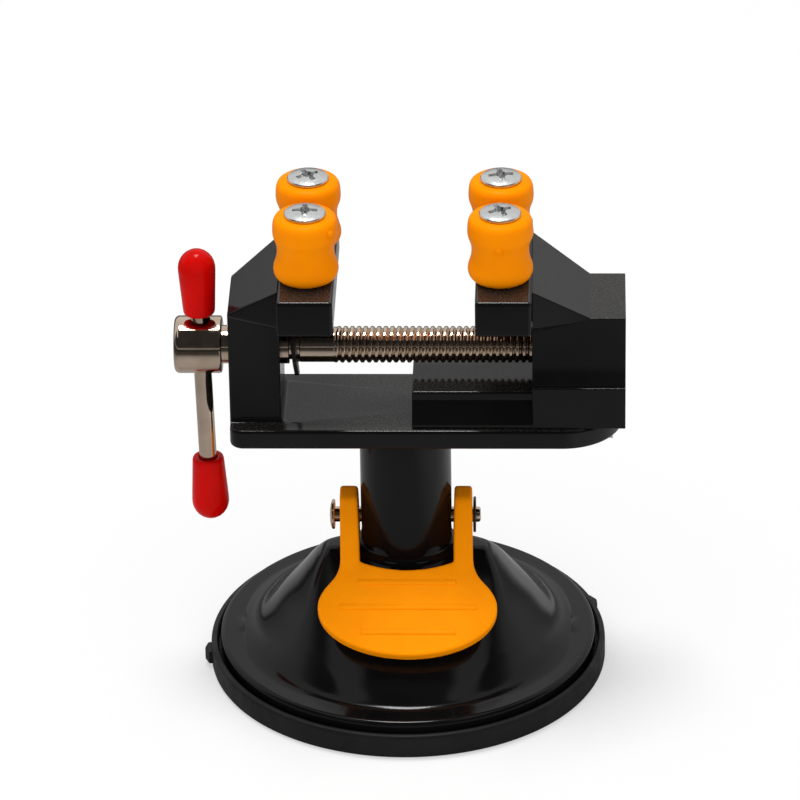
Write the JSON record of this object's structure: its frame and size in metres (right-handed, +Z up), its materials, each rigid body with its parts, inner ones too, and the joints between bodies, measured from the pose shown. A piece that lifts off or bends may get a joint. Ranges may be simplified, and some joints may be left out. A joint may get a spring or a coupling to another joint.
{
  "type": "suction base vise",
  "caption": "Small bench vise on a lever-operated suction base, with a cross-handle lead screw and soft upright pegs on its jaws.",
  "frame": {"origin": "centre of the suction base on the surface it stands on", "axes": "+Z up through the post, +X along the lead screw from the handle to the moving jaw, -Y towards the suction lever"},
  "size_m": [0.0841, 0.0754, 0.0994],
  "materials": {
    "rubber_black": "matt moulded rubber",
    "plastic_black": "gloss moulded plastic",
    "plastic_white": "natural acetal",
    "plastic_orange": "satin moulded plastic",
    "paint_black": "gloss black enamel",
    "nickel": "bright nickel plate",
    "spring_steel": "dark blued spring steel",
    "zinc": "bright zinc plate",
    "vinyl_red": "glossy dip-moulded vinyl",
    "rubber_orange": "satin soft plastic"
  },
  "bodies": {
    "base": {"suction_cup": "rubber_black", "base_cover": "plastic_black"},
    "stem": {"suction_stem": "plastic_white", "pivot_pin": "nickel", "pin_clip": "spring_steel"},
    "lever": {"suction_lever": "plastic_orange"},
    "vise": {"vise_body": "paint_black", "post_screw": "zinc", "post_washer": "zinc", "peg_screw_fixed_front": "zinc", "peg_screw_fixed_rear": "zinc"},
    "screw": {"lead_screw": "nickel", "screw_hub": "nickel", "retaining_clip": "spring_steel"},
    "handle": {"handle_bar": "nickel", "handle_cap_upper": "vinyl_red", "handle_cap_lower": "vinyl_red"},
    "jaw": {"moving_jaw": "paint_black", "keeper_plate": "zinc", "keeper_screw": "zinc", "peg_screw_moving_front": "zinc", "peg_screw_moving_rear": "zinc"},
    "peg_fixed_front": {"peg_fixed_front": "rubber_orange"},
    "peg_fixed_rear": {"peg_fixed_rear": "rubber_orange"},
    "peg_moving_front": {"peg_moving_front": "rubber_orange"},
    "peg_moving_rear": {"peg_moving_rear": "rubber_orange"}
  },
  "joints": [
    {"name": "stem_lift", "type": "slide", "parent": "base", "child": "stem", "axis": [0, 0, -1], "range_m": [0, 0.002]},
    {"name": "lever_pivot", "type": "hinge", "parent": "stem", "child": "lever", "pos_m": [0, 0, 0.0309], "axis": [-1, 0, 0], "range_deg": [0, 70]},
    {"name": "vise_swivel", "type": "hinge", "parent": "base", "child": "vise", "pos_m": [0, 0, 0.0513], "axis": [0, 0, 1], "continuous": true},
    {"name": "screw_turn", "type": "hinge", "parent": "vise", "child": "screw", "pos_m": [0, 0, 0.0675], "axis": [1, 0, 0], "range_deg": [-289, 6683]},
    {"name": "jaw_slide", "type": "slide", "parent": "vise", "child": "jaw", "axis": [-1, 0, 0], "range_m": [-0.001, 0.0232]},
    {"name": "handle_slide", "type": "slide", "parent": "screw", "child": "handle", "axis": [-0.0244, 0, 0.9997], "range_m": [-0.00115, 0.0184]},
    {"name": "peg_fixed_front_spin", "type": "hinge", "parent": "vise", "child": "peg_fixed_front", "pos_m": [-0.01757, -0.0072, 0.0855], "axis": [0, 0, 1], "continuous": true},
    {"name": "peg_fixed_rear_spin", "type": "hinge", "parent": "vise", "child": "peg_fixed_rear", "pos_m": [-0.01757, 0.0072, 0.0855], "axis": [0, 0, 1], "continuous": true},
    {"name": "peg_moving_front_spin", "type": "hinge", "parent": "jaw", "child": "peg_moving_front", "pos_m": [0.0182, -0.0072, 0.0855], "axis": [0, 0, 1], "continuous": true},
    {"name": "peg_moving_rear_spin", "type": "hinge", "parent": "jaw", "child": "peg_moving_rear", "pos_m": [0.0182, 0.0072, 0.0855], "axis": [0, 0, 1], "continuous": true}
  ],
  "couplings": [
    {"joint": "stem_lift", "follows": "lever_pivot", "m_per_rad": 0.001637},
    {"joint": "screw_turn", "follows": "jaw_slide", "rad_per_m": 5026.5}
  ]
}
